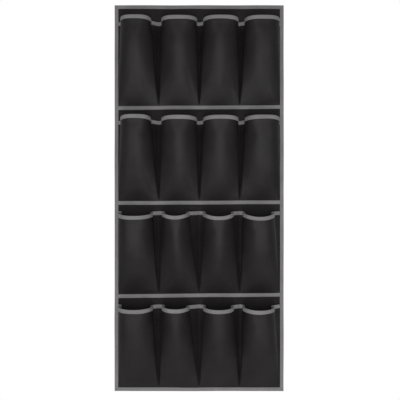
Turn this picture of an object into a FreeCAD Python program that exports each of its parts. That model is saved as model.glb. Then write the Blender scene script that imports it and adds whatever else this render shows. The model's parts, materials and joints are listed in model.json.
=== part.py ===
"""Hanging shoe organizer: a fabric back panel with rows of open pockets, bound in tape.

Millimetres. +Z is up and -Y is the front. The origin is on the rear plane of the panel, at the lower edge of
the centre hanging loop. The pockets are modelled open, in the shape that they keep while they hold shoes. The
panel folds between its rows, so each row is a section of its own with a fold line above it.
"""
import FreeCAD
import Part
import math
import os

from FreeCAD import Vector

# Overall layout
panel_width = 540.0          # outer width, bindings included
row_count = 4
column_count = 4
row_pitch = 299.5            # from the foot of one row of pockets to the foot of the next
pitch_differences = (4.0, -3.5, 0.0)    # sewing differences of each pitch, from the top
header_height = 21.5         # what the top row has above it beyond one pitch

# Fabric and tape
panel_thickness = 1.6
strip_thickness = 1.0        # the fabric that the pockets are made of
binding_width = 12.0         # what shows of the folded tape, on each side of an edge
binding_thickness = 0.8
sewing_gap = 0.1             # between a folded tape and the cloth inside it

# Pockets
band_above_pockets = 21.5    # bare panel between a row's bound edge, at its seams, and the tape above
edge_drops = (0.0, 11.0, 2.0, 0.0)      # how much lower than that each row's bound edge was sewn
pocket_depth = 74.0          # how far a mouth stands out from the panel
strip_margin = 10.0          # the strip's lower edge, flat under the row's tape
seam_inset = 1.6             # between a seam and the pocket wall beside it, at the foot
mouth_roundness = 3.0        # exponent of the mouth's superellipse: 2 is an ellipse, more is squarer
belly_power = 2.4            # how soon the pocket reaches its depth above its foot
belly_softness = 0.75
arc_steps = 12               # flat facets round one pocket
wall_levels = (0.015, 0.06, 0.13, 0.24, 0.40, 0.60, 0.80)

# How far each pocket's walls stand in from its left and right seams at the mouth, and how much higher (or
# lower) the front of the mouth is than its seams, for each row from the top
upper_insets = ((14.0, 21.0), (12.0, 6.0), (13.0, 11.0), (13.0, 8.0))
lower_insets = ((6.0, 16.0), (14.0, 32.0), (13.0, 22.0), (7.0, 24.0))
mouth_insets = (upper_insets, upper_insets, lower_insets, lower_insets)
mouth_rises = (-8.0, 6.0, -14.0, -1.0)

# Fold lines between the rows
fold_below_tape = 9.0
fold_gap = 4.0               # cloth left free along a fold, so that the sections clear each other

# Stiffening battens in their sleeves, across the back at the top and the bottom
batten_height = 18.0
batten_thickness = 2.0
batten_end_inset = 14.0      # from the end of the sleeve
sleeve_thickness = 0.8
sleeve_slack = 0.2           # round the batten
sleeve_edge = 1.5            # flat sewn edge beyond the channel
sleeve_ramp = 1.2            # the channel's slanting side
sleeve_gap = 0.9             # between the top sleeve and the binding above it

# Hanging loops
loop_spacing = 190.0
loop_names = ("left", "centre", "right")
webbing_width = 25.0
webbing_thickness = 1.4
loop_opening = 32.0          # clear width between the sewn ends
loop_stand_off = 7.0         # clear depth behind the panel
loop_ramp = 5.0
loop_tab = 16.0              # sewn end
apron_below_loop = 8.0       # flat cloth of the top sleeve, which carries the loops
hook_room = 9.0              # flat cloth between the loops and the channel

# Seam thread
thread_width = 0.8
thread_height = 0.4
thread_end_gap = 3.0

# Depths of the layers, from the rear plane at y = 0 towards the front
panel_back = -binding_thickness
panel_front = panel_back - panel_thickness
tape_back = panel_front - strip_thickness
tape_front = tape_back - binding_thickness

# Heights and widths that follow
row_pitches = [row_pitch + difference for difference in pitch_differences]
panel_height = binding_width + sum(row_pitches) + row_pitch + header_height
seam_heights = [row_pitch - binding_width - band_above_pockets - drop for drop in edge_drops]
channel_height = batten_height + 2 * sleeve_slack
channel_depth = batten_thickness + sleeve_slack
top_channel = webbing_width + hook_room
top_edge = top_channel + channel_height + sleeve_ramp + sleeve_edge + sleeve_gap + binding_width
bottom_edge = top_edge - panel_height
half_width = panel_width / 2
inner_half_width = half_width - binding_width
column_pitch = 2 * inner_half_width / column_count
rows = range(1, row_count + 1)


def row_foot(row):
    """Height of the foot of a row of pockets, which is the top of the tape below it. Row 1 is the top one."""
    return bottom_edge + binding_width + sum(row_pitches[row - 1:])


def fold_height(row):
    """Height of the fold line above a row, below the tape of the row above it."""
    return row_foot(row - 1) - binding_width - fold_below_tape


def section_span(row):
    """Lowest and highest z of a row's section of the panel, clear of its fold lines."""
    low = bottom_edge if row == row_count else fold_height(row + 1) + fold_gap / 2
    high = top_edge if row == 1 else fold_height(row) - fold_gap / 2
    return low, high


def box(x_span, y_span, z_span):
    """A box between two x, two y and two z values."""
    size = [high - low for low, high in (x_span, y_span, z_span)]
    return Part.makeBox(*size, Vector(x_span[0], y_span[0], z_span[0]))


def prism(points, along):
    """A polygon extruded along a vector."""
    corners = [Vector(*p) for p in points]
    return Part.Face(Part.makePolygon(corners + corners[:1])).extrude(along)


def swept_solid(rings):
    """A closed solid through rings of points, each ring a closed outline with the same number of points."""
    faces = []

    def add(a, b, c):
        if (b - a).cross(c - a).Length > 1e-7:
            faces.append(Part.Face(Part.makePolygon([a, b, c, a])))

    for ring, following in zip(rings, rings[1:]):
        for i in range(len(ring)):
            j = (i + 1) % len(ring)
            add(ring[i], ring[j], following[j])
            add(ring[i], following[j], following[i])
    for ring in (rings[0], rings[-1]):
        faces.append(Part.Face(Part.makePolygon(ring + ring[:1])))
    solid = Part.Solid(Part.makeShell(faces))
    if solid.Volume < 0:
        solid.reverse()
    return solid


def depth_at(level):
    """How far a pocket stands out at a level, from 0 at its foot to 1 at its mouth."""
    return pocket_depth * (1 - (1 - level) ** belly_power) ** belly_softness


def bound_level(row):
    """The level at which the folded tape of a row's mouths begins."""
    return 1 - binding_width / seam_heights[row - 1]


def stand_off_at(row, level):
    """How far the strip stands off the panel at its seams, which is a folded tape's thickness at its edge."""
    return binding_thickness + 2 * sewing_gap if level >= bound_level(row) - 1e-9 else 0.0


def strip_route(row, level):
    """The middle of a strip's cloth at one level, in plan, as (x, y, share of the full depth)."""
    wall = panel_front - strip_thickness / 2 - stand_off_at(row, level)
    depth = depth_at(level) - strip_thickness / 2 if level > 0 else 0.0
    route = [(-inner_half_width, wall, 0.0)]
    for column in range(column_count):
        insets = mouth_insets[row - 1][column]
        left_inset, right_inset = (seam_inset + (inset - seam_inset) * level for inset in insets)
        left = -inner_half_width + column * column_pitch + left_inset
        right = -inner_half_width + (column + 1) * column_pitch - right_inset
        middle = (left + right) / 2
        half = (right - left) / 2
        for step in range(arc_steps + 1):
            angle = math.pi * step / arc_steps
            across = math.copysign(abs(math.cos(angle)) ** (2 / mouth_roundness), -math.cos(angle))
            out = abs(math.sin(angle)) ** (2 / mouth_roundness) if 0 < step < arc_steps else 0.0
            route.append((middle + half * across, wall - depth * out, out))
        if column < column_count - 1:
            route.append((-inner_half_width + (column + 1) * column_pitch, wall, 0.0))
    route.append((inner_half_width, wall, 0.0))
    return route


def offsets(route):
    """For each point of a route, the plan vector that carries it outwards by 1 mm of cloth thickness."""
    found = []
    for i, (x, y, _) in enumerate(route):
        normals = []
        for a, b in ((i - 1, i), (i, i + 1)):
            if a >= 0 and b < len(route):
                dx = route[b][0] - route[a][0]
                dy = route[b][1] - route[a][1]
                length = math.hypot(dx, dy)
                normals.append((dy / length, -dx / length))
        nx = sum(n[0] for n in normals) / len(normals)
        ny = sum(n[1] for n in normals) / len(normals)
        square = nx * nx + ny * ny
        found.append((nx / square, ny / square))
    return found


def mouth_height(row, share):
    """Height of a row's bound edge above its foot, where share is how far out it stands there."""
    return seam_heights[row - 1] + mouth_rises[row - 1] * share


def pocket_strip(row):
    """One strip of cloth, pleated into a row of pockets."""
    half = strip_thickness / 2
    top = binding_thickness + sewing_gap
    levels = [0.0, 0.0, *wall_levels, bound_level(row), 1.0]
    heights = [-strip_margin if i == 0 else None for i in range(len(levels))]
    walls = []
    for level, fixed in zip(levels, heights):
        route = strip_route(row, level)
        carry = offsets(route)
        outer = []
        inner = []
        for (x, y, share), (nx, ny) in zip(route, carry):
            z = row_foot(row) + (fixed if fixed is not None else level * (mouth_height(row, share) - top))
            outer.append(Vector(x + nx * half, y + ny * half, z))
            inner.append(Vector(x - nx * half, y - ny * half, z))
        walls.append((outer, inner))
    rings = []
    for i in range(len(walls[0][0])):
        rings.append([outer[i] for outer, inner in walls] + [inner[i] for outer, inner in reversed(walls)])
    return swept_solid(rings)


def mouth_binding(row):
    """The tape folded over the upper edge of a row's strip."""
    groove = strip_thickness / 2 + sewing_gap
    face = groove + binding_thickness
    top = binding_thickness + sewing_gap
    lower = bound_level(row)
    routes = {level: strip_route(row, level) for level in (lower, 1.0)}
    carries = {level: offsets(route) for level, route in routes.items()}
    outline = ((lower, face), (1.0, face), (1.0, -face), (lower, -face),
               (lower, -groove), (1.0, -groove), (1.0, groove), (lower, groove))
    rings = []
    for i in range(len(routes[1.0])):
        ring = []
        for level, offset in outline:
            x, y, share = routes[level][i]
            nx, ny = carries[level][i]
            z = row_foot(row) + level * (mouth_height(row, share) - top)
            if level == 1.0:
                z += top if abs(offset) == face else sewing_gap
            ring.append(Vector(x + nx * offset, y + ny * offset, z))
        rings.append(ring)
    return swept_solid(rings)


def back_panel(row):
    """A row's section of the back cloth."""
    low, high = section_span(row)
    low = max(low, bottom_edge + binding_thickness)
    high = min(high, top_edge - binding_thickness)
    side = half_width - binding_thickness
    return box((-side, side), (panel_front, panel_back), (low, high))


def edge_frame(cloth_front):
    """Tape folded round all four edges of cloth that reaches forward to cloth_front, before it is divided."""
    side = half_width - binding_thickness
    whole = box((-half_width, half_width), (cloth_front - binding_thickness, 0), (bottom_edge, top_edge))
    cloth = box((-side, side), (cloth_front, panel_back),
                (bottom_edge + binding_thickness, top_edge - binding_thickness))
    window = box((-inner_half_width, inner_half_width), (tape_front - 1, 1),
                 (bottom_edge + binding_width, top_edge - binding_width))
    return whole.cut(cloth).cut(window)


def edge_bindings():
    """The edge tapes, mitred at the corners and divided at the fold lines, by node name.

    The bottom one also holds the lower edge of the bottom strip.
    """
    frame = edge_frame(panel_front)
    front = tape_front - 1
    along = Vector(0, 1 - front, 0)
    tapes = {}
    for name, frame_here, outer, inner in (
            ("top_binding", frame, top_edge, top_edge - binding_width),
            ("bottom_binding", edge_frame(tape_back), bottom_edge, bottom_edge + binding_width)):
        wedge = [(-half_width, front, outer), (half_width, front, outer),
                 (inner_half_width, front, inner), (-inner_half_width, front, inner)]
        tapes[name] = frame_here.common(prism(wedge, along))
    for name, side in (("left", -1), ("right", 1)):
        wedge = [(side * half_width, front, bottom_edge),
                 (side * inner_half_width, front, bottom_edge + binding_width),
                 (side * inner_half_width, front, top_edge - binding_width),
                 (side * half_width, front, top_edge)]
        whole = frame.common(prism(wedge, along))
        for row in rows:
            section = box((-half_width, half_width), (front, 1), section_span(row))
            tapes[f"side_binding_{name}_row_{row}"] = whole.common(section)
    return tapes


def row_tape(row):
    """The flat tape that covers the lower edge of a row's strip."""
    foot = row_foot(row)
    return box((-inner_half_width, inner_half_width), (tape_front, tape_back), (foot - binding_width, foot))


def sleeve(low, start):
    """A strip of cloth across the back: flat from low, with a channel for a batten that begins at start."""
    end = start + channel_height
    high = end + sleeve_ramp + sleeve_edge
    face = panel_back + sleeve_thickness
    roof = panel_back + channel_depth
    crest = roof + sleeve_thickness
    outline = [(panel_back, low), (face, low), (face, start - sleeve_ramp), (crest, start), (crest, end),
               (face, end + sleeve_ramp), (face, high), (panel_back, high), (panel_back, end), (roof, end),
               (roof, start), (panel_back, start)]
    return prism([(-inner_half_width, y, z) for y, z in outline], Vector(2 * inner_half_width, 0, 0))


def batten(start):
    """The stiffening strip inside a sleeve's channel."""
    half = inner_half_width - batten_end_inset
    base = start + sleeve_slack
    bar = box((-half, half), (panel_back, panel_back + batten_thickness), (base, base + batten_height))
    ends = [edge for edge in bar.Edges
            if abs(edge.Vertexes[0].Y - edge.Vertexes[1].Y) > batten_thickness / 2]
    return bar.makeFillet(batten_height / 4, ends)


def hanging_loop(x):
    """A strap of webbing sewn to the back at both ends, which a flat hook goes up behind."""
    half = loop_opening / 2
    inside = half - loop_ramp
    rise = loop_stand_off
    t = webbing_thickness
    end = half + loop_tab
    outline = [(-end, 0), (-half, 0), (-inside, rise), (inside, rise), (half, 0), (end, 0),
               (end, t), (half + t / 2, t), (inside + t / 2, rise + t),
               (-inside - t / 2, rise + t), (-half - t / 2, t), (-end, t)]
    return prism([(x + px, py, 0) for px, py in outline], Vector(0, 0, webbing_width))


def seam_threads(row):
    """The thread lines that sew a row's strip to the panel between its pockets."""
    foot = row_foot(row) + thread_end_gap
    face = panel_front - strip_thickness
    head = row_foot(row) + wall_levels[-1] * seam_heights[row - 1] - thread_end_gap
    lines = []
    for column in range(1, column_count):
        x = -inner_half_width + column * column_pitch
        side = (x - thread_width / 2, x + thread_width / 2)
        lines.append(box(side, (face - thread_height, face), (foot, head)))
    return Part.makeCompound(lines)


def build():
    """Every node of the organizer, by name."""
    nodes = edge_bindings()
    for row in rows:
        nodes[f"back_panel_row_{row}"] = back_panel(row)
        nodes[f"pocket_strip_row_{row}"] = pocket_strip(row)
        nodes[f"mouth_binding_row_{row}"] = mouth_binding(row)
        nodes[f"seam_threads_row_{row}"] = seam_threads(row)
        if row < row_count:
            nodes[f"row_tape_{row}"] = row_tape(row)
    nodes["top_sleeve"] = sleeve(-apron_below_loop, top_channel)
    nodes["top_batten"] = batten(top_channel)
    bottom_low = bottom_edge + binding_width
    bottom_channel = bottom_low + sleeve_edge + sleeve_ramp
    nodes["bottom_sleeve"] = sleeve(bottom_low, bottom_channel)
    nodes["bottom_batten"] = batten(bottom_channel)
    for i, name in enumerate(loop_names):
        nodes[f"hanging_loop_{name}"] = hanging_loop((i - 1) * loop_spacing)
    return nodes


def main():
    os.makedirs("parts", exist_ok=True)
    for name, shape in sorted(build().items()):
        if not shape.isValid():
            raise ValueError(f"{name} is not a valid shape")
        shape.exportStep(f"parts/{name}.step")
        print(f"{name}: {len(shape.Solids)} solid(s), {shape.Volume / 1000:.2f} cm3")


main()
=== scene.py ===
"""Looks of a hanging fabric shoe organizer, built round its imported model.

Lengths are in millimetres in the geometry functions, and add_mesh() turns them into metres. The pieces are
a back panel, four pleated strips that make the pockets, folded grey tape round every edge, thread, two battens
in their sleeves and three webbing loops. X runs across the organizer, Y from front to back, and Z up.
"""

import json
import math

import bpy
import numpy as np
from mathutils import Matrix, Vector


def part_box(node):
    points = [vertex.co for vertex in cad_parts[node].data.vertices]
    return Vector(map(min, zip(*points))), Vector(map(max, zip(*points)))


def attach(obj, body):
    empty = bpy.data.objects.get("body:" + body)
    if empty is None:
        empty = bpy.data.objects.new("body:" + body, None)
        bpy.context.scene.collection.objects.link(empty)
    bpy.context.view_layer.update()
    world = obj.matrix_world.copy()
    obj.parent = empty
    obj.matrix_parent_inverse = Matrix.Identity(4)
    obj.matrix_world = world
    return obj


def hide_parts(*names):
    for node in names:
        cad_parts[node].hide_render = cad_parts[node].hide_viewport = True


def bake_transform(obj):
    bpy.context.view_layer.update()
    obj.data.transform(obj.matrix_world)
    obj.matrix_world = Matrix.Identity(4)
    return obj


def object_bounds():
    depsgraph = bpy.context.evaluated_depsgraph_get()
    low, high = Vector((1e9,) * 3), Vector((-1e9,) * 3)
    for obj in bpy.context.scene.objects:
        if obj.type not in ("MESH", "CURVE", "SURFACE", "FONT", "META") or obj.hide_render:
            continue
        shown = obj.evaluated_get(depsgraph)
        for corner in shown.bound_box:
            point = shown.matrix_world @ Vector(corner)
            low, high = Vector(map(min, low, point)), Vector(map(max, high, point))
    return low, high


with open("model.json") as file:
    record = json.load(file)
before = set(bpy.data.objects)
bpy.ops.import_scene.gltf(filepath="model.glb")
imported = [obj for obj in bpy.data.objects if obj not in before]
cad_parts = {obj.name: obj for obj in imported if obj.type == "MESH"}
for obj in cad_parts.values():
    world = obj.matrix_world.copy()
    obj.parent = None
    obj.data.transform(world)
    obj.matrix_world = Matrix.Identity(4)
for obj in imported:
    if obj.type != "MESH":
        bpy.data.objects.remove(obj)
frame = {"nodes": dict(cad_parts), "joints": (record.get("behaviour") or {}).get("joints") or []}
cad_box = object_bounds()

MM = 0.001
ROWS = (1, 2, 3, 4)
COLUMNS = 4

# Places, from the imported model
half_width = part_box("top_binding")[1].x / MM
inner_half_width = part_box("row_tape_1")[1].x / MM
tape_width = half_width - inner_half_width
column_pitch = 2 * inner_half_width / COLUMNS
top_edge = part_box("top_binding")[1].z / MM
bottom_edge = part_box("bottom_binding")[0].z / MM
panel_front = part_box("back_panel_row_1")[0].y / MM
panel_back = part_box("back_panel_row_1")[1].y / MM
tape_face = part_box("row_tape_1")[0].y / MM
feet = [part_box(f"row_tape_{row}")[1].z / MM for row in ROWS[:-1]] + [bottom_edge + tape_width]
folds = [joint["pos_m"][2] / MM for joint in frame["joints"]]

# Cloth and tape
PANEL_CLOTH = 1.6
POCKET_CLOTH = 0.75
SLEEVE_CLOTH = 0.8
WEBBING_THICKNESS = 1.4
TAPE = 0.85
PANEL_EDGE = 1.2                # of the outline outside the panel's own edge, for the turn of the tape
BOTTOM_HEM = 1.0                # more cloth inside the bottom binding than inside the top one
MITRE = 14.0                    # at a corner, over which two bindings are mitred into each other

# Stitches
STITCH_PITCH = 3.4
STITCH_LENGTH = 2.8
THREAD_RADIUS = 0.2

# Pockets
SEAM_HEIGHTS = (266.0, 255.0, 264.0, 266.0)
POCKET_DEPTH = 74.0
BELLY_POWER = 2.2
BELLY_SOFTNESS = 1.0
SEAM_INSET = 1.6
UPPER_INSETS = ((14.0, 21.0), (12.0, 7.0), (13.0, 7.0), (13.0, 8.0))
LOWER_INSETS = ((6.0, 16.0), (14.0, 32.0), (13.0, 22.0), (7.0, 24.0))
MOUTH_INSETS = (UPPER_INSETS, UPPER_INSETS, LOWER_INSETS, LOWER_INSETS)
MOUTH_ROUNDNESS = (3.4, 3.4, 2.8, 2.8)
BELLY_ROUNDNESS = 1.85
FOOT_ROUNDNESS = 1.4
OUTER_ROUNDNESS = 3.0
ROUNDNESS_LEVELS = (0.1, 0.7, 0.8, 0.97)    # of the foot's roundness, the belly's (from, to) and the mouth's
# Rise of a mouth's front above its seams, for each row's pockets: at its two corners, and at its middle
LIP_CORNER_RISES = (
    (-3.5, -5.0, -5.0, -5.5),
    (8.5, 5.0, 5.5, 6.0),
    (-10.0, -4.5, -6.5, -7.5),
    (3.0, 5.0, 2.5, 2.0),
)
LIP_CENTRE_RISES = (
    (-3.0, -4.5, -4.0, -4.5),
    (9.5, 7.0, 7.0, 7.5),
    (-13.0, -12.5, -14.5, -16.0),
    (-1.0, 1.0, -1.5, -3.0),
)
WALL_SHARE = 0.5                # of the depth at which a pocket's wall turns into its front
WALL_CLOTH = 38.0               # in a side wall, folded inwards where the pocket is shallow
WALL_TUCK = 5.0                 # of a wall's foot behind the edge of its front
VALLEY_SLOPES = (0.9, 0.9, 0.7, 0.7)    # how steeply the cloth leaves a seam at the mouth, by row
VALLEY_DEEPENING = 1.9          # of those slopes, below the tape
VALLEY_LIMIT = 0.36             # of the depth, which a valley's sides don't rise past
CORNER_PASSES = 8               # of rounding of the corners between walls, fronts and valleys
WRINKLES_PER_SIDE = 4
TAPE_SLANTS = (1.6, 1.1, 2.4)   # how far each row's tape rises from its middle to its right end

# A strip's parameter runs over five segments to each pocket: valley, wall, front, wall, valley
SEGMENTS = 5
SEAM_CROWDING = 1.7
SEGMENT_STEPS = (6, 10, 36, 10, 6)
LEFT_VALLEY, LEFT_WALL, FRONT, RIGHT_WALL, RIGHT_VALLEY = range(SEGMENTS)


def smoothstep(x, low, high):
    """0 below low, 1 above high, and smooth between them."""
    t = np.clip((x - low) / (high - low), 0.0, 1.0)
    return t * t * (3 - 2 * t)


def ripple(a, b, size, seed):
    """Smooth uneven waves between about -1 and 1 over two coordinates, about size apart."""
    draw = np.random.default_rng(seed)
    total = np.zeros(np.broadcast(a, b).shape)
    for _ in range(6):
        angle = draw.uniform(0, math.pi)
        wave = size * draw.uniform(0.7, 1.6)
        phase = draw.uniform(0, 2 * math.pi)
        total += np.sin(2 * math.pi * (a * math.cos(angle) + b * math.sin(angle)) / wave + phase)
    return total / 3


def crease(a, b, start, end, width):
    """A ridge of height 1 along the line from start to end, fading across width and towards its far end."""
    along = np.array(end) - np.array(start)
    length = np.hypot(*along)
    da = a - start[0]
    db = b - start[1]
    t = (da * along[0] + db * along[1]) / length ** 2
    across = (da * along[1] - db * along[0]) / length
    fade = smoothstep(t, -0.15, 0.1) * (1 - smoothstep(t, 0.35, 1.0))
    return np.exp(-(across / width) ** 2) * fade


# ---------------------------------------------------------------- meshes

def add_mesh(name, points, faces, uvs, material):
    """A smooth-shaded object from points in mm, faces, and one uv pair in metres for each point."""
    mesh = bpy.data.meshes.new(name)
    mesh.from_pydata((np.asarray(points, float) * MM).tolist(), [], faces)
    layer = mesh.uv_layers.new(name="cloth")
    corners = np.empty(len(mesh.loops), np.int32)
    mesh.loops.foreach_get("vertex_index", corners)
    layer.data.foreach_set("uv", (np.asarray(uvs, float) * MM)[corners].astype(np.float32).ravel())
    mesh.polygons.foreach_set("use_smooth", [True] * len(mesh.polygons))
    mesh.materials.append(material)
    mesh.validate()
    mesh.update()
    made = bpy.data.objects.new(name, mesh)
    bpy.context.scene.collection.objects.link(made)
    return made


def grid_faces(rows, columns, start=0, flip=False, wrap=False):
    """Quads of a grid of points that is stored row by row. wrap joins the last column to the first."""
    faces = []
    for r in range(rows - 1):
        for c in range(columns if wrap else columns - 1):
            right = (c + 1) % columns
            quad = (start + r * columns + c, start + r * columns + right,
                    start + (r + 1) * columns + right, start + (r + 1) * columns + c)
            faces.append(quad[::-1] if flip else quad)
    return faces


def grid_normals(grid):
    """Unit normals of a grid of points, pointing to the side from which columns run right and rows run up."""
    along = np.gradient(grid, axis=1)
    up = np.gradient(grid, axis=0)
    normals = np.cross(along, up)
    return normals / np.maximum(np.linalg.norm(normals, axis=2, keepdims=True), 1e-9)


def add_cloth(name, grid, uv, thickness, material):
    """A closed sheet of cloth of a thickness, either side of a grid of points."""
    rows, columns, _ = grid.shape
    normals = grid_normals(grid)
    outer = (grid + normals * thickness / 2).reshape(-1, 3)
    inner = (grid - normals * thickness / 2).reshape(-1, 3)
    count = rows * columns
    faces = grid_faces(rows, columns) + grid_faces(rows, columns, count, flip=True)
    edge = list(range(columns))
    edge += [r * columns + columns - 1 for r in range(1, rows)]
    edge += [(rows - 1) * columns + c for c in range(columns - 2, -1, -1)]
    edge += [r * columns for r in range(rows - 2, 0, -1)]
    for a, b in zip(edge, edge[1:] + edge[:1]):
        faces.append((b, a, a + count, b + count))
    both = np.concatenate([uv.reshape(-1, 2)] * 2)
    return add_mesh(name, np.concatenate([outer, inner]), faces, both, material)


def add_sleeve(name, rings, uv, material):
    """A closed solid through rings of points, with flat ends."""
    count, size, _ = rings.shape
    faces = grid_faces(count, size, wrap=True)
    faces.append(tuple(range(size))[::-1])
    faces.append(tuple((count - 1) * size + i for i in range(size)))
    return add_mesh(name, rings.reshape(-1, 3), faces, uv.reshape(-1, 2), material)


def distances(path):
    """How far each point of a path is along it."""
    return np.concatenate([[0], np.cumsum(np.linalg.norm(np.diff(path, axis=0), axis=1))])


# A stitch's rings: place along it as a share of its length, share of its thickness, and lift off the cloth
STITCH_RINGS = (
    (-0.5, 0.45, -0.12),
    (-0.36, 0.95, 0.06),
    (0.0, 1.0, 0.12),
    (0.36, 0.95, 0.06),
    (0.5, 0.45, -0.12),
)
STITCH_SIDES = 6
STITCH_CLEARANCE = 0.05


def stitches_along(path, normals, pitch=STITCH_PITCH, length=STITCH_LENGTH, radius=THREAD_RADIUS):
    """Points and faces of a line of stitches on a path. Each is a short thread that dips in at its ends."""
    lengths = distances(path)
    centres = np.arange(pitch / 2, lengths[-1] - pitch / 2, pitch)
    faces = []
    turn = np.linspace(0, 2 * math.pi, STITCH_SIDES, endpoint=False)

    def at(values, places):
        return np.stack([np.interp(places, lengths, values[:, i]) for i in range(3)], axis=1)

    rings = []
    for share, thickness, lift in STITCH_RINGS:
        places = centres + share * length
        middle = at(path, places)
        ahead = at(path, places + 0.4) - at(path, places - 0.4)
        ahead /= np.maximum(np.linalg.norm(ahead, axis=1, keepdims=True), 1e-9)
        up = at(normals, places)
        up -= (up * ahead).sum(1, keepdims=True) * ahead
        up /= np.maximum(np.linalg.norm(up, axis=1, keepdims=True), 1e-9)
        side = np.cross(ahead, up)
        middle = middle + up * (lift + STITCH_CLEARANCE)
        ring = [middle + radius * thickness * (math.cos(t) * side + math.sin(t) * up) for t in turn]
        rings.append(np.stack(ring, axis=1))
    block = np.stack(rings, axis=1)
    size = len(STITCH_RINGS) * STITCH_SIDES
    for k in range(len(centres)):
        start = k * size
        faces += grid_faces(len(STITCH_RINGS), STITCH_SIDES, start, wrap=True)
        faces.append(tuple(start + i for i in range(STITCH_SIDES))[::-1])
        faces.append(tuple(start + size - STITCH_SIDES + i for i in range(STITCH_SIDES)))
    return block.reshape(-1, 3), faces


def add_stitches(name, lines, material, **sizes):
    """One object holding the stitches of several lines, each a path with its normals."""
    points = []
    faces = []
    count = 0
    for path, normals in lines:
        made, quads = stitches_along(path, normals, **sizes)
        points.append(made)
        faces += [tuple(i + count for i in quad) for quad in quads]
        count += len(made)
    points = np.concatenate(points)
    return add_mesh(name, points, faces, points[:, [0, 2]], material)


# ---------------------------------------------------------------- materials

class Nodes:
    """A material's node tree, with short calls for its common nodes."""

    def __init__(self, name):
        self.material = bpy.data.materials.new(name)
        self.material.use_nodes = True
        self.tree = self.material.node_tree
        self.shader = self.tree.nodes["Principled BSDF"]

    def plug(self, value, socket):
        if isinstance(value, bpy.types.NodeSocket):
            self.tree.links.new(value, socket)
        else:
            socket.default_value = value

    def math(self, operation, a, b=0.0, c=0.0):
        node = self.tree.nodes.new("ShaderNodeMath")
        node.operation = operation
        for value, socket in zip((a, b, c), node.inputs):
            self.plug(value, socket)
        return node.outputs[0]

    def uv(self):
        """The cloth's own two coordinates in metres, along it and up it."""
        node = self.tree.nodes.new("ShaderNodeUVMap")
        node.uv_map = "cloth"
        split = self.tree.nodes.new("ShaderNodeSeparateXYZ")
        self.tree.links.new(node.outputs[0], split.inputs[0])
        return split.outputs[0], split.outputs[1]

    def place(self):
        """The place on the object, in metres."""
        return self.tree.nodes.new("ShaderNodeTexCoord").outputs["Object"]

    def noise(self, vector, scale, detail=2.0, roughness=0.5):
        node = self.tree.nodes.new("ShaderNodeTexNoise")
        self.plug(vector, node.inputs["Vector"])
        node.inputs["Scale"].default_value = scale
        node.inputs["Detail"].default_value = detail
        node.inputs["Roughness"].default_value = roughness
        return node.outputs["Fac"]

    def spread(self, value, low, high, to_low, to_high):
        node = self.tree.nodes.new("ShaderNodeMapRange")
        node.inputs["From Min"].default_value = low
        node.inputs["From Max"].default_value = high
        node.inputs["To Min"].default_value = to_low
        node.inputs["To Max"].default_value = to_high
        self.plug(value, node.inputs["Value"])
        return node.outputs["Result"]

    def mix(self, share, a, b):
        node = self.tree.nodes.new("ShaderNodeMix")
        node.data_type = "RGBA"
        self.plug(share, node.inputs["Factor"])
        self.plug(a, node.inputs["A"])
        self.plug(b, node.inputs["B"])
        return node.outputs["Result"]

    def bump(self, height, strength, distance, under=None):
        node = self.tree.nodes.new("ShaderNodeBump")
        node.inputs["Strength"].default_value = strength
        node.inputs["Distance"].default_value = distance
        self.plug(height, node.inputs["Height"])
        if under is not None:
            self.plug(under, node.inputs["Normal"])
        return node.outputs["Normal"]

    def set(self, **sockets):
        for name, value in sockets.items():
            self.plug(value, self.shader.inputs[name.replace("_", " ")])


def colour(red, green, blue):
    return (red, green, blue, 1.0)


def woven_cloth(name, dark, light, pitch, roughness, specular, sheen):
    """Matt woven polyester: warp and weft threads of a pitch in metres, slightly uneven in tone."""
    n = Nodes(name)
    u, v = n.uv()
    warp = n.math("MULTIPLY", u, math.pi / pitch)
    weft = n.math("MULTIPLY", v, math.pi / pitch)
    across = n.math("ABSOLUTE", n.math("SINE", warp))
    upward = n.math("ABSOLUTE", n.math("SINE", weft))
    crossing = n.math("MULTIPLY", n.math("COSINE", warp), n.math("COSINE", weft))
    threads = n.math("MULTIPLY_ADD", crossing, 0.3, n.math("ADD", across, upward))
    place = n.place()
    cloudy = n.noise(place, 14.0, 3.0)
    fibres = n.noise(place, 900.0, 2.0, 0.7)
    slub = n.noise(place, 160.0, 2.0)
    tone = n.math("ADD", n.spread(cloudy, 0.3, 0.7, 0.0, 0.45), n.spread(threads, 0.4, 2.2, 0.0, 0.35))
    tone = n.math("ADD", tone, n.spread(fibres, 0.35, 0.65, 0.0, 0.2))
    weave = n.bump(threads, 0.35, 0.00016)
    soft = n.bump(slub, 0.12, 0.0008, weave)
    n.set(Base_Color=n.mix(tone, dark, light),
          Roughness=n.spread(fibres, 0.3, 0.7, roughness - 0.05, roughness + 0.06),
          Normal=soft, Specular_IOR_Level=specular, Sheen_Weight=sheen, Sheen_Roughness=0.45)
    return n.material


def ribbed_tape(name, dark, light, rib, roughness, specular, sheen):
    """Woven tape with ribs across its width, rib metres apart along it."""
    n = Nodes(name)
    u, v = n.uv()
    ribs = n.math("ABSOLUTE", n.math("SINE", n.math("MULTIPLY", u, math.pi / rib)))
    fine = n.math("SINE", n.math("MULTIPLY", v, 2 * math.pi / (rib * 0.45)))
    height = n.math("MULTIPLY_ADD", fine, 0.18, ribs)
    place = n.place()
    cloudy = n.noise(place, 22.0, 3.0)
    fibres = n.noise(place, 1100.0, 2.0, 0.7)
    tone = n.math("ADD", n.spread(ribs, 0.0, 1.0, 0.0, 0.45), n.spread(cloudy, 0.3, 0.7, 0.0, 0.3))
    tone = n.math("ADD", tone, n.spread(fibres, 0.35, 0.65, 0.0, 0.25))
    n.set(Base_Color=n.mix(tone, dark, light),
          Roughness=n.spread(fibres, 0.3, 0.7, roughness - 0.06, roughness + 0.06),
          Normal=n.bump(height, 0.5, 0.00022), Specular_IOR_Level=specular,
          Sheen_Weight=sheen, Sheen_Roughness=0.4)
    return n.material


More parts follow.
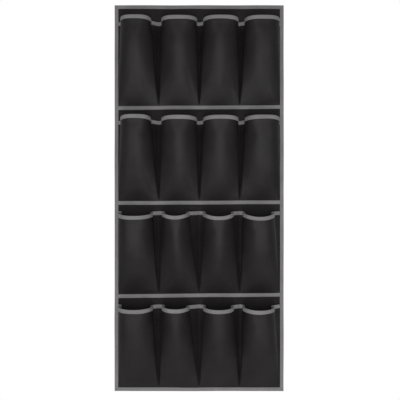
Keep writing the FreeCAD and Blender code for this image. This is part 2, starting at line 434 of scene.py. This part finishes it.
def twisted_thread(name, dark, light):
    """Sewing thread, with a fine twist."""
    n = Nodes(name)
    place = n.place()
    twist = n.noise(place, 2400.0, 2.0)
    n.set(Base_Color=n.mix(n.spread(twist, 0.3, 0.7, 0.0, 1.0), dark, light), Roughness=0.55,
          Normal=n.bump(twist, 0.4, 0.0001), Specular_IOR_Level=0.15, Sheen_Weight=0.05)
    return n.material


def moulded_plastic(name, dark, light):
    """Matt plastic strip with a fine grain."""
    n = Nodes(name)
    place = n.place()
    grain = n.noise(place, 700.0, 3.0)
    n.set(Base_Color=n.mix(n.noise(place, 30.0), dark, light),
          Roughness=n.spread(grain, 0.3, 0.7, 0.42, 0.55), Normal=n.bump(grain, 0.15, 0.0001))
    return n.material


PANEL = woven_cloth("panel_cloth", colour(0.0104, 0.0093, 0.0098), colour(0.0224, 0.0201, 0.0213),
                    pitch=0.0007, roughness=0.85, specular=0.1, sheen=0.005)
POCKET = woven_cloth("pocket_cloth", colour(0.0084, 0.0073, 0.0079), colour(0.0184, 0.0161, 0.0174),
                     pitch=0.0007, roughness=0.44, specular=0.17, sheen=0.005)
GREY_TAPE = ribbed_tape("grey_tape", colour(0.115, 0.111, 0.113), colour(0.235, 0.229, 0.232),
                        rib=0.0011, roughness=0.68, specular=0.2, sheen=0.1)
WEBBING = ribbed_tape("loop_webbing", colour(0.012, 0.0115, 0.012), colour(0.034, 0.033, 0.034),
                      rib=0.0016, roughness=0.6, specular=0.3, sheen=0.15)
GREY_THREAD = twisted_thread("grey_thread", colour(0.13, 0.127, 0.128), colour(0.29, 0.285, 0.287))
BLACK_THREAD = twisted_thread("black_thread", colour(0.009, 0.009, 0.009), colour(0.035, 0.034, 0.035))
PLASTIC = moulded_plastic("batten_plastic", colour(0.48, 0.48, 0.46), colour(0.6, 0.6, 0.57))


# ---------------------------------------------------------------- pocket strips

def depth_at(level):
    """How far a pocket stands out at a level, from 0 at its foot to 1 at its mouth."""
    level = min(max(level, 0.0), 1.0)
    return POCKET_DEPTH * (1 - (1 - level) ** BELLY_POWER) ** BELLY_SOFTNESS


def strip_parameters(density=1, crowding=SEAM_CROWDING):
    """Parameter values along a whole strip, one unit to a segment, crowded together towards the seams."""
    values = [0.0]
    for column in range(COLUMNS):
        for segment, steps in enumerate(SEGMENT_STEPS):
            share = np.arange(1, steps * density + 1) / (steps * density)
            if segment == LEFT_VALLEY:
                share = share ** crowding
            if segment == RIGHT_VALLEY:
                share = 1 - (1 - share) ** crowding
            values += list(column * SEGMENTS + segment + share)
    return np.array(values)


CURVE_PARAMETERS = strip_parameters(3, 1.0)


def front_wrinkles(row, column, x, z, half, height):
    """How far the wrinkles of a pocket push its front out, in mm."""
    seed = 100 * row + 10 * column
    draw = np.random.default_rng(seed)
    out = 0.7 * ripple(x * 1.5, z * 0.7, 120.0, seed + 1) + 0.2 * ripple(x, z, 45.0, seed + 2)
    for side in (-1, 1):
        for _ in range(WRINKLES_PER_SIDE):
            start = (side * half * draw.uniform(0.72, 1.0), height * draw.uniform(0.0, 0.08))
            end = (side * half * draw.uniform(-0.15, 0.55), height * draw.uniform(0.22, 0.55))
            size = draw.uniform(0.2, 0.8) * draw.choice((-1, 1))
            out += size * crease(x, z, start, end, draw.uniform(5, 10))
        for _ in range(2):
            start = (side * half * draw.uniform(0.5, 0.8), height * draw.uniform(0.93, 1.0))
            end = (side * half * draw.uniform(0.3, 0.9), height * draw.uniform(0.5, 0.75))
            size = draw.uniform(0.2, 0.5) * draw.choice((-1, 1))
            out += size * crease(x, z, start, end, draw.uniform(6, 12))
    return out


def plan_curve(row, level):
    """One level of a strip seen from above, at each of CURVE_PARAMETERS: x, distance out from the panel,
    share of the depth, place across the front from -1 to 1, column, and the pocket's middle and half width."""
    t = CURVE_PARAMETERS
    column = np.minimum((t // SEGMENTS).astype(int), COLUMNS - 1)
    within = t - SEGMENTS * column
    segment = np.minimum(within.astype(int), RIGHT_VALLEY)
    share = within - segment
    on_left = within < SEGMENTS / 2
    rise = np.where(on_left, share, 1 - share)
    side = np.where(on_left, -1.0, 1.0)
    valley = (segment == LEFT_VALLEY) | (segment == RIGHT_VALLEY)
    wall = (segment == LEFT_WALL) | (segment == RIGHT_WALL)
    front = segment == FRONT

    inset = SEAM_INSET + (np.array(MOUTH_INSETS[row - 1])[column] - SEAM_INSET) * level
    seam_left = -inner_half_width + column * column_pitch
    left = seam_left + inset[:, 0]
    right = seam_left + column_pitch - inset[:, 1]
    middle, half = (left + right) / 2, (right - left) / 2
    depth = depth_at(level)
    roundnesses = (FOOT_ROUNDNESS, BELLY_ROUNDNESS, BELLY_ROUNDNESS, MOUTH_ROUNDNESS[row - 1])
    roundness = float(np.interp(level, ROUNDNESS_LEVELS, roundnesses))
    outermost = ((column == 0) & (side < 0)) | ((column == COLUMNS - 1) & (side > 0))
    roundness = np.where(outermost, max(roundness, OUTER_ROUNDNESS), roundness)

    def half_share(out):
        return (1 - np.clip(out, 0, 1) ** roundness) ** (1 / roundness)

    # the valley beside a seam slopes up to the foot of the wall
    reach = half_share(WALL_SHARE)
    gap = np.where(side < 0, inset[:, 0], inset[:, 1])
    slope = VALLEY_SLOPES[row - 1] * float(np.interp(level, (0.82, 0.96), (VALLEY_DEEPENING, 1.0)))
    start = np.minimum(gap * slope / max(depth, 1e-6), VALLEY_LIMIT)
    seam = np.where(side < 0, seam_left, seam_left + column_pitch)
    sweep = reach * (0.6 * (2 * share - 1) - 0.4 * np.cos(math.pi * share))
    across = np.where(front, sweep, side * reach)
    out = np.where(valley, start * rise, start + (WALL_SHARE - start) * rise)
    out = np.where(front, half_share(np.abs(across)), out)
    tuck = WALL_TUCK * float(smoothstep(level, 0.1, 0.4))
    x = np.where(valley, seam + (middle + side * (half - tuck) - seam) * rise, middle + half * across / reach)
    x = np.where(wall, x - side * tuck * (1 - rise), x)

    # spare cloth of a wall is folded inwards, behind the front
    spare = math.sqrt(max(0.0, (WALL_CLOTH / 2) ** 2 - (depth * WALL_SHARE / 2) ** 2))
    spare = spare * float(smoothstep(level, 0, 0.15))
    fold = (0.5 - 0.5 * np.cos(2 * math.pi * rise)) ** 0.8
    x = np.where(wall, x - side * spare * fold, x)
    y = out * depth

    # rounded corners, but none at the seams
    at_seam = np.abs(t - SEGMENTS * np.round(t / SEGMENTS)) < 0.4
    for _ in range(CORNER_PASSES):
        for values in (x, y):
            smooth = values.copy()
            smooth[1:-1] = (values[:-2] + 2 * values[1:-1] + values[2:]) / 4
            values[~at_seam] = smooth[~at_seam]

    return x, y, out, across * (~valley), column, middle, half


def strip_points(row, parameters, levels):
    """A strip's middle surface: points by level and parameter."""
    height = SEAM_HEIGHTS[row - 1]
    points = np.zeros((len(levels), len(parameters), 3))
    for k, level in enumerate(levels):
        clipped = min(max(level, 0.0), 1.0)
        x, y, out, across, column, middle, half = plan_curve(row, clipped)
        corner = np.array(LIP_CORNER_RISES[row - 1])[column]
        drop = np.array(LIP_CENTRE_RISES[row - 1])[column] - corner
        top = height + out * corner + drop * out * np.clip(1 - across ** 2, 0, 1) * (across != 0)
        z = feet[row - 1] + (level * (top - TAPE) if level >= 0 else level * height * np.ones(len(x)))

        # wrinkles, which fade out at the seams and at the foot
        for c in range(COLUMNS):
            mine = (column == c) & (out > 0.05)
            heights = np.full(mine.sum(), level * height)
            bulge = front_wrinkles(row, c, x[mine] - middle[mine], heights, half[mine][0], height)
            calm = 1 - 0.55 * float(smoothstep(level, 0.85, 0.97))
            y[mine] += bulge * np.clip(out[mine] * 1.6, 0, 1) * float(smoothstep(level, 0.0, 0.1)) * calm

        # off the panel, and further off at the mouth, where the tape goes between
        under_tape = float(smoothstep(level, 0.9, 1 - tape_width / height))
        stand = POCKET_CLOTH / 2 + 0.1 + (TAPE + 0.25) * under_tape
        for axis, values in enumerate((x, panel_front - stand - y, z)):
            points[k, :, axis] = np.interp(parameters, CURVE_PARAMETERS, values)
    return points


HEM_DEPTHS = (9.0, 4.0)     # below the foot, behind the tape
FOOT_END = 0.06             # the rows of points change their spacing here
MOUTH_START = 0.94


def strip_levels(row):
    """Levels of a strip's rows of points, closer together at its foot and its mouth."""
    height = SEAM_HEIGHTS[row - 1]
    hem = [-depth / height for depth in HEM_DEPTHS]
    foot = list(np.linspace(0.0, FOOT_END, 8)[:-1])
    belly = list(np.linspace(FOOT_END, MOUTH_START, 52)[:-1])
    mouth = list(np.linspace(MOUTH_START, 1.0, 6))
    return np.array(hem + foot + belly + mouth)


def cloth_uv(grid):
    """Even coordinates along and up a grid of points, from its average lengths, in mm."""
    along = np.linalg.norm(np.diff(grid, axis=1), axis=2).mean(0)
    up = np.linalg.norm(np.diff(grid, axis=0), axis=2).mean(1)
    u = np.concatenate([[0], np.cumsum(along)])
    v = np.concatenate([[0], np.cumsum(up)])
    return np.stack(np.meshgrid(u, v), axis=2)


def pocket_strip(row):
    """The cloth that makes a row's four pockets."""
    grid = strip_points(row, strip_parameters(), strip_levels(row))
    strip = add_cloth(f"pocket_strip_{row}", grid, cloth_uv(grid), POCKET_CLOTH, POCKET)
    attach(strip, f"row_{row}_section")
    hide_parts(f"pocket_strip_row_{row}")
    return strip


# ---------------------------------------------------------------- folded tape

def tape_profile(cloth):
    """A folded tape's outline round the edge of cloth of a thickness. Each point is how far it is in from the
    folded edge, and how far it is out from the cloth's middle. It starts at the hem on the outer side."""
    skin = cloth / 2 + 0.04
    face = skin + TAPE
    width = tape_width
    hem = [(width - 0.3, skin), (width, skin + 0.35), (width - 0.15, face - 0.15), (width - 0.8, face + 0.02)]
    stitched = [(width - 1.5, face - 0.02), (width - 2.0, face - 0.2), (width - 2.5, face - 0.02)]
    middle = [(width - 4.0, face + 0.1), (width * 0.45, face + 0.12), (2.2, face + 0.05)]
    fold = [(0.9, face - 0.15), (0.25, face * 0.72), (0.0, face * 0.3)]
    outer = hem + stitched + middle + fold
    inner = [(w, -n) for w, n in reversed(outer)]
    groove = [(width * 0.6, -skin), (TAPE, -skin * 0.8), (TAPE, skin * 0.8), (width * 0.6, skin)]
    return outer + inner + groove


OUTER_POINTS = 13       # of that outline, on its outer side
STITCH_LINE = 5         # which of them the stitches run along
STITCH_LINE_INSIDE = 2 * OUTER_POINTS - 1 - STITCH_LINE


def pucker(places):
    """How far the stitches pull a tape in, by distance along it: 1 where a stitch ends."""
    return 0.5 + 0.5 * np.cos(2 * math.pi * places / STITCH_PITCH)


def folded_tape(name, outline, places, position, material, seed):
    """A tape folded over an edge, and its rings of points. places are distances along it, and
    position(inward, offset) gives the points for one point of the outline, at every place."""
    rings = np.zeros((len(places), len(outline), 3))
    uv = np.zeros((len(places), len(outline), 2))
    lengths = np.concatenate([[0], np.cumsum(np.hypot(*np.diff(np.array(outline), axis=0).T))])
    hem = 0.35 * ripple(places, np.zeros(len(places)), 60.0, seed)
    pull = pucker(places)
    swell = 0.06 * ripple(places, np.zeros(len(places)) + 50, 25.0, seed + 1)
    for j, (w, n) in enumerate(outline):
        near = math.exp(-((w - outline[STITCH_LINE][0]) / 1.6) ** 2)
        side = math.copysign(1.0, n)
        skin = abs(n) > outline[0][1] + 0.1
        offset = n + side * (swell - 0.13 * near * pull) * skin
        inward = w + hem * (w / tape_width) ** 2
        rings[:, j] = position(inward, offset)
        uv[:, j, 0] = places
        uv[:, j, 1] = lengths[j]
    made = add_sleeve(name, rings, uv, material)
    return made, rings


def line_of(rings, index, opposite):
    """A stitch line's path and normals, along one point of a tape's outline, away from the opposite point."""
    path = rings[:, index]
    outward = rings[:, index] - rings[:, opposite]
    along = np.gradient(path, axis=0)
    normals = np.cross(along, rings[:, index + 1] - rings[:, index - 1])
    normals /= np.maximum(np.linalg.norm(normals, axis=1, keepdims=True), 1e-9)
    flip = np.sign((normals * outward).sum(1, keepdims=True))
    return path, normals * np.where(flip == 0, 1, flip)


def stitch_lines(rings):
    """The stitch lines of a folded tape on its outer and inner sides."""
    return [line_of(rings, STITCH_LINE, STITCH_LINE_INSIDE), line_of(rings, STITCH_LINE_INSIDE, STITCH_LINE)]


def mouth_binding(row):
    """The tape folded over a row's mouths, with its stitches."""
    height = SEAM_HEIGHTS[row - 1]
    outline = tape_profile(POCKET_CLOTH)
    dense = strip_parameters(6, 1.0)
    edge = strip_points(row, dense, [1.0])[0]
    lengths = distances(edge)
    places = np.arange(0.0, lengths[-1], STITCH_PITCH / 2)
    parameters = np.interp(places, lengths, dense)
    steps = np.linspace(-1.0, tape_width + 1.5, 12)
    grid = strip_points(row, parameters, [1 - w / height for w in steps[::-1]])
    normals = grid_normals(grid)[::-1]
    grid = grid[::-1]

    def position(inward, offset):
        k = np.clip((inward - steps[0]) / (steps[1] - steps[0]), 0, len(steps) - 1.001)
        low = k.astype(int)
        share = (k - low)[:, None]
        i = np.arange(len(places))
        middle = grid[low, i] * (1 - share) + grid[low + 1, i] * share
        normal = normals[low, i] * (1 - share) + normals[low + 1, i] * share
        return middle + normal * offset[:, None]

    name = f"mouth_binding_{row}"
    tape, rings = folded_tape(name, outline, places, position, GREY_TAPE, 400 + row)
    body = f"row_{row}_section"
    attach(tape, body)
    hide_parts(f"mouth_binding_row_{row}")
    thread = add_stitches(f"mouth_stitches_{row}", stitch_lines(rings), GREY_THREAD)
    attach(thread, body)
    return tape, thread


# ---------------------------------------------------------------- bindings and row tapes

EDGE_MIDDLE = (panel_front + panel_back) / 2


def bend(piece, upper):
    """Bakes a piece's placement into its points, without bending it. upper, the row above the fold it crosses,
    is not used.
    """
    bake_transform(piece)


def middle_of(row):
    """Height of the middle of a row, where a long piece is divided."""
    return feet[row - 1] + SEAM_HEIGHTS[row - 1] / 2


# Lengths of the panel and side bindings: name, the row above their fold, their two ends, and the rows that
# each one stands for in the CAD model
SPANS = (
    ("upper", 1, middle_of(2), top_edge, (1,)),
    ("middle", 2, middle_of(3), middle_of(2), (2, 3)),
    ("lower", 3, bottom_edge, middle_of(3), (4,)),
)


def side_binding(name, side):
    """The tape folded round one side edge, in three lengths that each cross one fold."""
    outline = tape_profile(PANEL_CLOTH)
    for part, upper, low, high, replaced_rows in SPANS:
        count = int(round((high - low) / (STITCH_PITCH / 2))) + 1
        z = np.linspace(low, high, count)
        edge = half_width + 0.35 * ripple(z, np.zeros(count), 170.0, 500 + (side > 0))

        def position(inward, offset):
            mitre_top = np.clip((z - (top_edge - MITRE)) / MITRE, 0, 1) * inward
            mitre_bottom = np.clip((bottom_edge + MITRE - z) / MITRE, 0, 1) * inward
            x = side * (edge - inward)
            y = EDGE_MIDDLE - offset
            return np.stack([x, y, z - mitre_top + mitre_bottom], axis=1)

        piece, rings = folded_tape(f"side_binding_{name}_{part}", outline, z - bottom_edge, position,
                                   GREY_TAPE, 510)
        thread = add_stitches(f"side_stitches_{name}_{part}", stitch_lines(rings), GREY_THREAD)
        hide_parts(*[f"side_binding_{name}_row_{row}" for row in replaced_rows])
        for made in (piece, thread):
            bend(made, upper)


def end_binding(name, edge, direction, body, cloth):
    """The tape folded round the top or bottom edge, mitred into the side ones."""
    outline = tape_profile(cloth)
    count = int(round(2 * half_width / (STITCH_PITCH / 2))) + 1
    x = np.linspace(-half_width, half_width, count)
    wave = 0.3 * ripple(x, np.zeros(count), 150.0, 530 + (direction > 0))
    middle = panel_back - cloth / 2

    def position(inward, offset):
        near = np.clip((np.abs(x) - (half_width - MITRE)) / MITRE, 0, 1)
        z = edge + direction * (wave - inward)
        return np.stack([x - np.sign(x) * near * inward, middle - offset, z], axis=1)

    piece, rings = folded_tape(name, outline, x + half_width, position, GREY_TAPE, 540)
    thread = add_stitches(name.replace("binding", "stitches"), stitch_lines(rings), GREY_THREAD)
    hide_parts(name)
    for made in (piece, thread):
        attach(made, body)


def row_tape(row):
    """The flat tape over the foot of a row, with a line of stitches along each edge."""
    height = tape_width
    low = feet[row - 1] - height
    reach = inner_half_width + 2.5
    count = int(round(2 * reach / (STITCH_PITCH / 2))) + 1
    x = np.linspace(-reach, reach, count)
    back = tape_face + TAPE
    outline = [(0.0, 0.0), (0.15, 0.55), (0.7, 0.86), (1.3, 0.82), (1.8, 0.62), (2.3, 0.82), (4.0, 0.95),
               (height / 2, 1.0), (height - 4.0, 0.95), (height - 2.3, 0.82), (height - 1.8, 0.62),
               (height - 1.3, 0.82), (height - 0.7, 0.86), (height - 0.15, 0.55), (height, 0.0)]
    pleats = np.zeros(count)
    for column in range(1, COLUMNS):
        for side in (-1, 1):
            pleats += 0.55 * np.exp(-((x + inner_half_width - column * column_pitch - side * 20) / 11) ** 2)
    slant = TAPE_SLANTS[row - 1] * x / inner_half_width + 0.5 * ripple(x, np.zeros(count), 200.0, 550 + row)
    pull = pucker(x + reach)
    rings = np.zeros((count, len(outline), 3))
    uv = np.zeros((count, len(outline), 2))
    for j, (z, out) in enumerate(outline):
        near = math.exp(-((z - 1.8) / 1.2) ** 2) + math.exp(-((z - height + 1.8) / 1.2) ** 2)
        lift = (out - 0.12 * near * pull) * TAPE + pleats * (0.5 + 0.5 * z / height) * (out > 0)
        rings[:, j] = np.stack([x, back - lift, low + z + slant], axis=1)
        uv[:, j] = np.stack([x + reach, np.full(count, z)], axis=1)
    rings = rings[:, ::-1]
    uv = uv[:, ::-1]
    body = f"row_{row}_section"
    piece = add_sleeve(f"row_tape_{row}_cloth", rings, uv, GREY_TAPE)
    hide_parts(f"row_tape_{row}")
    forward = np.tile((0.0, -1.0, 0.0), (count, 1))
    lines = [(rings[:, index], forward) for index in (4, 10)]
    thread = add_stitches(f"row_tape_stitches_{row}", lines, GREY_THREAD)
    for made in (piece, thread):
        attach(made, body)


# ---------------------------------------------------------------- panel and back

PANEL_COLUMNS = 97
PANEL_ROW_STEP = 6.0
NEAR_SEAM = np.array((-6, -4, -2.5, -1.2, 0, 1.2, 2.5, 4, 6))       # columns of points beside a seam
NEAR_FOLD = np.linspace(-10, 10, 15)                                # rows of points beside a fold
SEAM_GROOVE = -0.22                                                 # a seam pulls the panel this way in y


def with_closer(places, centre, reach, near):
    """Places with those within reach of a centre swapped for closer ones."""
    return sorted([place for place in places if abs(place - centre) > reach] + list(centre + near))


def seam_columns():
    """x of the panel's columns of points, close together at the seams."""
    x = np.linspace(-half_width + PANEL_EDGE, half_width - PANEL_EDGE, PANEL_COLUMNS)
    for column in range(1, COLUMNS):
        x = with_closer(x, -inner_half_width + column * column_pitch, 7, NEAR_SEAM)
    return np.array(x)


def back_panel():
    """The back cloth, in three lengths that each cross one fold."""
    x = seam_columns()
    for part, upper, low, high, replaced_rows in SPANS:
        low = max(low, bottom_edge + PANEL_EDGE)
        high = min(high, top_edge - PANEL_EDGE)
        z = np.linspace(low, high, int((high - low) / PANEL_ROW_STEP) + 1)
        z = np.array(with_closer(z, folds[upper - 1], 11, NEAR_FOLD))
        gx, gz = np.meshgrid(x, z)

        # the panel is wavy away from its bindings, tapes and the ends that another length goes on from
        calm = smoothstep(half_width - np.abs(gx), 12.0, 40.0)
        for line in [value - tape_width / 2 for value in feet] + [top_edge - 30]:
            calm = calm * smoothstep(np.abs(gz - line), 8.0, 40.0)
        if part != "lower":
            calm = calm * smoothstep(np.abs(gz - low), 0.0, 25.0)
        if part != "upper":
            calm = calm * smoothstep(np.abs(gz - high), 0.0, 25.0)
        seam = np.min([np.abs(gx + inner_half_width - c * column_pitch) for c in range(1, COLUMNS)], axis=0)
        relief = 0.45 * calm * smoothstep(seam, 2.0, 30.0) * ripple(gx, gz, 150.0, 600)
        groove = SEAM_GROOVE * np.exp(-(seam / 1.6) ** 2)
        for foot, seam_height in zip(feet, SEAM_HEIGHTS):
            head = foot + seam_height
            inside = smoothstep(gz, foot - 2, foot + 2) * (1 - smoothstep(gz, head - 2, head + 2))
            relief = relief + groove * inside
        grid = np.stack([gx, EDGE_MIDDLE + relief, gz], axis=2)
        uv = np.stack([gx, gz], axis=2)
        piece = add_cloth(f"back_panel_{part}", grid, uv, PANEL_CLOTH, PANEL)
        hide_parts(*[f"back_panel_row_{row}" for row in replaced_rows])
        bend(piece, upper)


def straight(a, b):
    """A straight path in short steps."""
    a, b = np.array(a, float), np.array(b, float)
    count = max(2, int(np.linalg.norm(b - a) / 2))
    return a + (b - a) * np.linspace(0, 1, count)[:, None]


def facing(path, direction):
    """The same normal for every point of a path."""
    return np.tile(np.array(direction, float), (len(path), 1))


def line_across_back(y, z):
    """A path and its normals from binding to binding, at one height on the back."""
    path = straight((-inner_half_width + 1, y, z), (inner_half_width - 1, y, z))
    return path, facing(path, (0, 1, 0))


def seam_stitches(row):
    """The seams between a row's pockets, on the front in the valleys and through to the back."""
    lines = []
    foot = feet[row - 1]
    head = foot + SEAM_HEIGHTS[row - 1]
    front = panel_front - POCKET_CLOTH - 0.3
    for column in range(1, COLUMNS):
        x = -inner_half_width + column * column_pitch
        path = straight((x, front, foot + 2), (x, front, head - 0.1 * SEAM_HEIGHTS[row - 1] - 2))
        lines.append((path, facing(path, (0, -1, 0))))
        path = straight((x, panel_back - 0.2, foot + 1), (x, panel_back - 0.2, head - 1))
        lines.append((path, facing(path, (0, 1, 0))))
    if row < ROWS[-1]:
        for z in (foot - 1.8, foot - tape_width + 1.8):
            lines.append(line_across_back(panel_back, z))
    thread = add_stitches(f"seam_stitches_{row}", lines, BLACK_THREAD)
    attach(thread, f"row_{row}_section")
    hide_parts(f"seam_threads_row_{row}")


SLEEVE_COLUMNS = 130


def batten_sleeve(name, body):
    """A strip of cloth sewn across the back, with a channel for a batten."""
    batten = name.replace("sleeve", "batten")
    low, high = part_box(name)
    batten_low, batten_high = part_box(batten)
    z_low, z_high = low.z / MM, high.z / MM
    start, end = batten_low.z / MM, batten_high.z / MM
    flat = panel_back + 0.45
    crest = high.y / MM - 0.4
    z = np.concatenate([
        np.linspace(z_low, start - 2.4, 10),
        np.linspace(start - 1.8, start + 1.2, 7),
        np.linspace(start + 3, end - 3, 6),
        np.linspace(end - 1.2, end + 1.8, 7),
        np.linspace(end + 2.2, z_high, 2),
    ])
    x = np.linspace(-inner_half_width, inner_half_width, SLEEVE_COLUMNS)
    gx, gz = np.meshgrid(x[::-1], z)
    swell = smoothstep(gz, start - 1.8, start + 0.6) * (1 - smoothstep(gz, end - 0.6, end + 1.8))
    ends = smoothstep(inner_half_width - np.abs(gx), 2.0, 16.0)
    channel = swell * (0.25 + 0.75 * ends)
    ruck = 0.18 * ripple(gx, gz * 2, 40.0, 620) * swell * ends
    grid = np.stack([gx, flat + (crest - flat) * channel + ruck, gz], axis=2)
    uv = np.stack([gx, gz], axis=2)
    piece = add_cloth(f"{name}_cloth", grid, uv, SLEEVE_CLOTH, PANEL)
    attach(piece, body)
    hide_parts(name)
    lines = [line_across_back(flat + 0.35, height) for height in (z_low + 1.0, start - 2.2, end + 2.3)]
    thread = add_stitches(f"{name}_stitches", lines, BLACK_THREAD)
    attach(thread, body)


LOOP_STEPS = 65
LOOP_SIDES = 28


def hanging_loop(name):
    """A webbing strap on the back, sewn down at both ends with a crossed box of stitches."""
    low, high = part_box(name)
    centre = (low.x + high.x) / 2 / MM
    width = (high.z - low.z) / MM
    thickness = WEBBING_THICKNESS
    reach = (high.x - low.x) / 2 / MM
    rise = high.y / MM - thickness / 2
    s = np.linspace(-reach, reach, LOOP_STEPS)
    y = thickness / 2 + (rise - thickness / 2) * (1 - smoothstep(np.abs(s), 9.5, 17.5))
    path = np.stack([centre - s, y, np.zeros(LOOP_STEPS)], axis=1)
    along = np.gradient(path, axis=0)
    along /= np.linalg.norm(along, axis=1, keepdims=True)
    out = np.cross((0.0, 0.0, 1.0), -along)
    out[out[:, 1] < 0] *= -1
    outline = []
    for t in np.linspace(0, 2 * math.pi, LOOP_SIDES, endpoint=False):
        c, d = math.cos(t), math.sin(t)
        z = math.copysign(abs(c) ** 0.12, c) * width / 2
        outline.append((z, math.copysign(abs(d) ** 0.55, d) * thickness / 2))
    rings = np.zeros((LOOP_STEPS, LOOP_SIDES, 3))
    uv = np.zeros((LOOP_STEPS, LOOP_SIDES, 2))
    for j, (z, n) in enumerate(outline):
        rings[:, j] = path + out * n + np.array((0, 0, width / 2 + z))
        uv[:, j] = np.stack([s + reach, np.full(LOOP_STEPS, z)], axis=1)
    strap = add_sleeve(f"{name}_strap", rings, uv, WEBBING)
    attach(strap, "row_1_section")
    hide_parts(name)
    lines = []
    for side in (-1, 1):
        near, far = centre + side * (reach - 13.5), centre + side * (reach - 2.0)
        corners = [(near, 2.2), (far, 2.2), (far, width - 2.2), (near, width - 2.2), (near, 2.2)]
        marks = list(zip(corners, corners[1:])) + [(corners[0], corners[2]), (corners[1], corners[3])]
        for a, b in marks:
            line = straight((a[0], thickness - 0.05, a[1]), (b[0], thickness - 0.05, b[1]))
            lines.append((line, facing(line, (0, 1, 0))))
    thread = add_stitches(f"{name}_stitches", lines, BLACK_THREAD, pitch=2.6, length=2.2)
    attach(thread, "row_1_section")


# ---------------------------------------------------------------- assembly

def build():
    """Every piece of the organizer. The battens keep their CAD shapes."""
    back_panel()
    for row in ROWS:
        strip = pocket_strip(row)
        tape, thread = mouth_binding(row)
        seam_stitches(row)
        if row < ROWS[-1]:
            row_tape(row)
    for name, side in (("left", -1), ("right", 1)):
        side_binding(name, side)
    end_binding("top_binding", top_edge, 1, "row_1_section", PANEL_CLOTH)
    end_binding("bottom_binding", bottom_edge, -1, "row_4_section", PANEL_CLOTH + BOTTOM_HEM)
    batten_sleeve("top_sleeve", "row_1_section")
    batten_sleeve("bottom_sleeve", "row_4_section")
    for name in ("top_batten", "bottom_batten"):
        frame["nodes"][name].material_slots[0].material = PLASTIC
    for name in ("left", "centre", "right"):
        hanging_loop(f"hanging_loop_{name}")


# ---------------------------------------------------------------- stage, camera and light

# In metres
CAMERA_DISTANCE = 1.5           # from the front of the tapes
CAMERA_ASIDE = 0.0027           # from the organizer's middle
CAMERA_BELOW = 0.006
PICTURE_HEIGHT = 1.276          # what the picture covers at that distance
KEY_DISTANCE = 2.3              # of the light in front of the organizer
KEY_BELOW = 0.4
KEY_SIZE = (0.25, 1.9)          # a narrow upright panel

SENSOR = 36.0
KEY_POWER = 37
WORLD_STRENGTH = 0.4

# In millimetres
FLOOR_DROP = 900.0              # of the floor below the organizer
FLOOR_REACH = 4000.0            # to both sides and to the front
FLOOR_BEHIND = 1700.0


def make_stage():
    """A pale floor, below the picture."""
    z = bottom_edge - FLOOR_DROP
    corners = [
        (-FLOOR_REACH, -FLOOR_REACH, z),
        (FLOOR_REACH, -FLOOR_REACH, z),
        (FLOOR_REACH, FLOOR_BEHIND, z),
        (-FLOOR_REACH, FLOOR_BEHIND, z),
    ]
    n = Nodes("studio_floor")
    n.set(Base_Color=colour(0.85, 0.85, 0.85), Roughness=0.9)
    uvs = [corner[:2] for corner in corners]
    add_mesh("studio_floor", corners, [(0, 1, 2, 3)], uvs, n.material)


def area_light(name, place, target, size, power):
    """A rectangular light at a place, turned to face a target."""
    data = bpy.data.lights.new(name, "AREA")
    data.shape = "RECTANGLE"
    data.size, data.size_y = size
    data.energy = power
    light = bpy.data.objects.new(name, data)
    bpy.context.scene.collection.objects.link(light)
    light.location = place
    light.rotation_euler = (Vector(target) - Vector(place)).to_track_quat("-Z", "Y").to_euler()


def make_world(strength):
    """Even white surroundings of a strength, which look plain white in the picture."""
    world = bpy.data.worlds.new("studio")
    bpy.context.scene.world = world
    world.use_nodes = True
    tree = world.node_tree
    background = tree.nodes["Background"]
    background.inputs["Color"].default_value = colour(1.0, 1.0, 1.0)
    seen = tree.nodes.new("ShaderNodeLightPath").outputs["Is Camera Ray"]
    level = tree.nodes.new("ShaderNodeMapRange")
    level.inputs["To Min"].default_value = strength
    level.inputs["To Max"].default_value = 1.0
    tree.links.new(seen, level.inputs["Value"])
    tree.links.new(level.outputs["Result"], background.inputs["Strength"])


def make_camera_and_light():
    """A camera straight in front, a tall narrow light centred lower down, and the white surroundings."""
    low, high = cad_box
    centre = (low + high) / 2
    data = bpy.data.cameras.new("camera")
    data.sensor_width = SENSOR
    data.lens = SENSOR * CAMERA_DISTANCE / PICTURE_HEIGHT
    camera = bpy.data.objects.new("camera", data)
    bpy.context.scene.collection.objects.link(camera)
    camera.location = (CAMERA_ASIDE, tape_face * MM - CAMERA_DISTANCE, centre.z - CAMERA_BELOW)
    camera.rotation_euler = (math.pi / 2, 0, 0)
    bpy.context.scene.camera = camera

    key_height = centre.z - KEY_BELOW
    area_light("key", (0.0, -KEY_DISTANCE, key_height), (0, 0, key_height), KEY_SIZE, KEY_POWER)
    make_world(WORLD_STRENGTH)
    bpy.context.scene.view_settings.view_transform = "Standard"


build()
make_stage()
make_camera_and_light()
